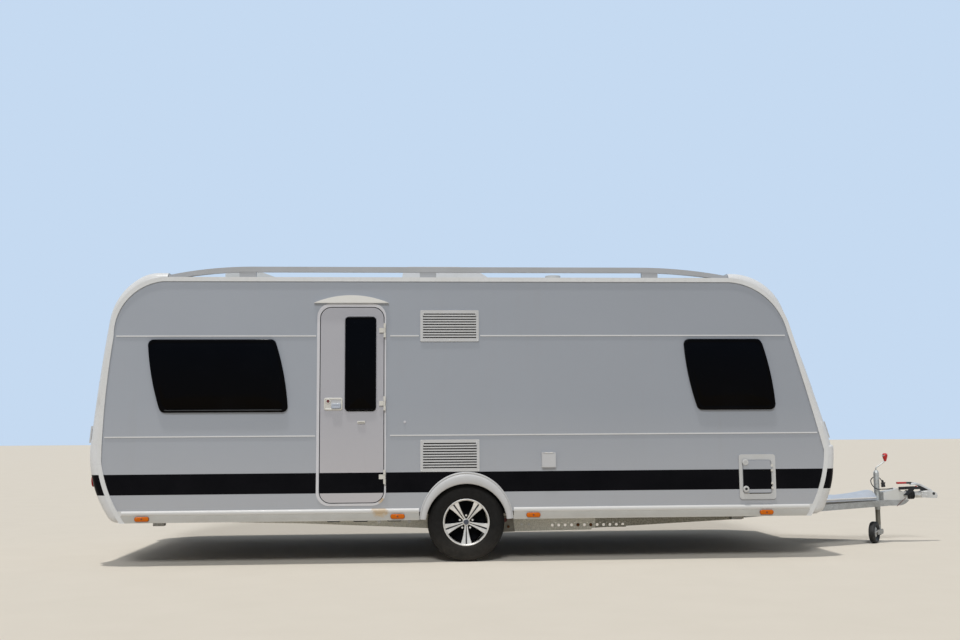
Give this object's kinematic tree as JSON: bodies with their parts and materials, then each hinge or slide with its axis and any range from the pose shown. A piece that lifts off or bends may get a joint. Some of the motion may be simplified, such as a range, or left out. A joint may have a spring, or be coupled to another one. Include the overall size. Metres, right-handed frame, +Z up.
{
  "type": "travel caravan",
  "caption": "Single-axle silver-grey travel caravan with white ends, black stripe, entrance door and drawbar with a jockey wheel.",
  "frame": {"origin": "on the ground, under the middle of the overall length, on the centreline", "axes": "+X forward towards the hitch, +Y to the caravan's left, +Z up; the door is on the right, at negative Y"},
  "size_m": [7.7902, 2.5356, 2.629],
  "materials": {
    "wall_silver": "satin silver-grey coated sheet on a light sandwich",
    "door_silver": "satin silver-grey, slightly lighter than the wall",
    "panel_white": "gloss white moulding, slightly dirty",
    "trim_white": "gloss white",
    "trim_metal": "dull anodised",
    "plywood": "sealed underside, dark and dusty",
    "plastic_grey": "matte",
    "plastic_silver": "satin silver-grey",
    "plastic_black": "matte black",
    "acrylic_dark": "dark tinted acrylic, glossy",
    "rooflight_acrylic": "milky, satin",
    "lamp_amber": "clear amber lens",
    "lamp_red": "clear red lens",
    "galvanised": "dull galvanised, spangled, some rust",
    "casting": "dark cast and forged steel",
    "rubber_black": "matte black",
    "tyre_rubber": "matte black, dusty",
    "alloy": "machined faces, dark pockets"
  },
  "bodies": {
    "caravan": {"side_wall_right": "wall_silver", "side_wall_left": "wall_silver", "rear_panel": "panel_white", "front_panel": "panel_white", "roof_panel": "panel_white", "floor_panel": "plywood", "gas_locker_box": "plastic_grey", "edge_trims": "trim_white", "wall_strips": "trim_metal", "side_skirts": "trim_metal", "wheel_arches": "plastic_silver", "wheel_housings": "plastic_black", "window_frames": "plastic_black", "window_panes": "acrylic_dark", "door_frame": "trim_white", "hinge_pins": "trim_white", "door_canopy": "trim_white", "fridge_vents": "plastic_silver", "hatch_frames": "plastic_silver", "power_inlet": "plastic_silver", "side_markers": "lamp_amber", "rear_lamps": "lamp_red", "grab_handles": "plastic_silver", "roof_rails": "trim_metal", "air_conditioner": "panel_white", "rooflights": "rooflight_acrylic", "chassis_members": "galvanised", "axle": "galvanised", "drawbar": "galvanised", "drawbar_cover": "panel_white", "overrun_housing": "casting", "overrun_bellows": "rubber_black", "coupling_head": "casting", "hitch_handles": "plastic_black", "hitch_cables": "rubber_black", "jockey_tube": "galvanised", "steady_brackets": "galvanised"},
    "wheel_right": {"tyre_right": "tyre_rubber", "rim_right": "alloy"},
    "wheel_left": {"tyre_left": "tyre_rubber", "rim_left": "alloy"},
    "door": {"door_leaf": "door_silver", "door_window": "acrylic_dark", "door_handle": "plastic_black", "door_hinge_leaves": "trim_white"},
    "service_hatch": {"service_flap": "plastic_silver"},
    "cassette_hatch": {"cassette_flap": "plastic_silver"},
    "inlet_cover": {"inlet_lid": "plastic_silver"},
    "gas_locker_cover": {"gas_locker_lid": "panel_white"},
    "steady_rear_right_arm": {"steady_rear_right": "galvanised"},
    "steady_rear_left_arm": {"steady_rear_left": "galvanised"},
    "steady_front_right_arm": {"steady_front_right": "galvanised"},
    "steady_front_left_arm": {"steady_front_left": "galvanised"},
    "jockey_slide": {"jockey_leg": "galvanised"},
    "jockey_swivel": {"jockey_fork": "galvanised"},
    "jockey_roller": {"jockey_wheel": "rubber_black"}
  },
  "joints": [
    {"name": "wheel_right_spin", "type": "hinge", "parent": "caravan", "child": "wheel_right", "pos_m": [-0.7675, -1.108, 0.325], "axis": [0, 1, 0], "continuous": true},
    {"name": "wheel_left_spin", "type": "hinge", "parent": "caravan", "child": "wheel_left", "pos_m": [-0.7675, 1.108, 0.325], "axis": [0, 1, 0], "continuous": true},
    {"name": "door_hinge", "type": "hinge", "parent": "caravan", "child": "door", "pos_m": [-1.4525, -1.26, 1.3], "axis": [0, 0, 1], "range_deg": [0, 170]},
    {"name": "service_flap_hinge", "type": "hinge", "parent": "caravan", "child": "service_hatch", "pos_m": [1.8355, -1.2578, 0.684], "axis": [0, 0, 1], "range_deg": [0, 120]},
    {"name": "cassette_flap_hinge", "type": "hinge", "parent": "caravan", "child": "cassette_hatch", "pos_m": [-1.7125, 1.2578, 0.684], "axis": [0, 0, -1], "range_deg": [0, 120]},
    {"name": "inlet_lid_hinge", "type": "hinge", "parent": "caravan", "child": "inlet_cover", "pos_m": [-0.0715, -1.2683, 0.9], "axis": [-1, 0, 0], "range_deg": [0, 100]},
    {"name": "gas_locker_hinge", "type": "hinge", "parent": "caravan", "child": "gas_locker_cover", "pos_m": [2.4214, 0, 0.926], "axis": [0, -1, 0], "range_deg": [0, 80]},
    {"name": "steady_rear_right_hinge", "type": "hinge", "parent": "caravan", "child": "steady_rear_right_arm", "pos_m": [-3.0075, -0.93, 0.352], "axis": [0, -1, 0], "range_deg": [0, 48]},
    {"name": "steady_rear_left_hinge", "type": "hinge", "parent": "caravan", "child": "steady_rear_left_arm", "pos_m": [-3.0075, 0.93, 0.352], "axis": [0, -1, 0], "range_deg": [0, 48]},
    {"name": "steady_front_right_hinge", "type": "hinge", "parent": "caravan", "child": "steady_front_right_arm", "pos_m": [1.2525, -0.93, 0.352], "axis": [0, 1, 0], "range_deg": [0, 48]},
    {"name": "steady_front_left_hinge", "type": "hinge", "parent": "caravan", "child": "steady_front_left_arm", "pos_m": [1.2525, 0.93, 0.352], "axis": [0, 1, 0], "range_deg": [0, 48]},
    {"name": "jockey_lift", "type": "slide", "parent": "caravan", "child": "jockey_slide", "axis": [0, 0, 1], "range_m": [0, 0.09]},
    {"name": "jockey_swivel_pin", "type": "hinge", "parent": "jockey_slide", "child": "jockey_swivel", "pos_m": [3.2925, 0, 0.14], "axis": [0, 0, 1], "continuous": true},
    {"name": "jockey_wheel_spin", "type": "hinge", "parent": "jockey_swivel", "child": "jockey_roller", "pos_m": [3.20379, -0.10571, 0.102], "axis": [0.766, -0.6428, 0], "continuous": true}
  ]
}
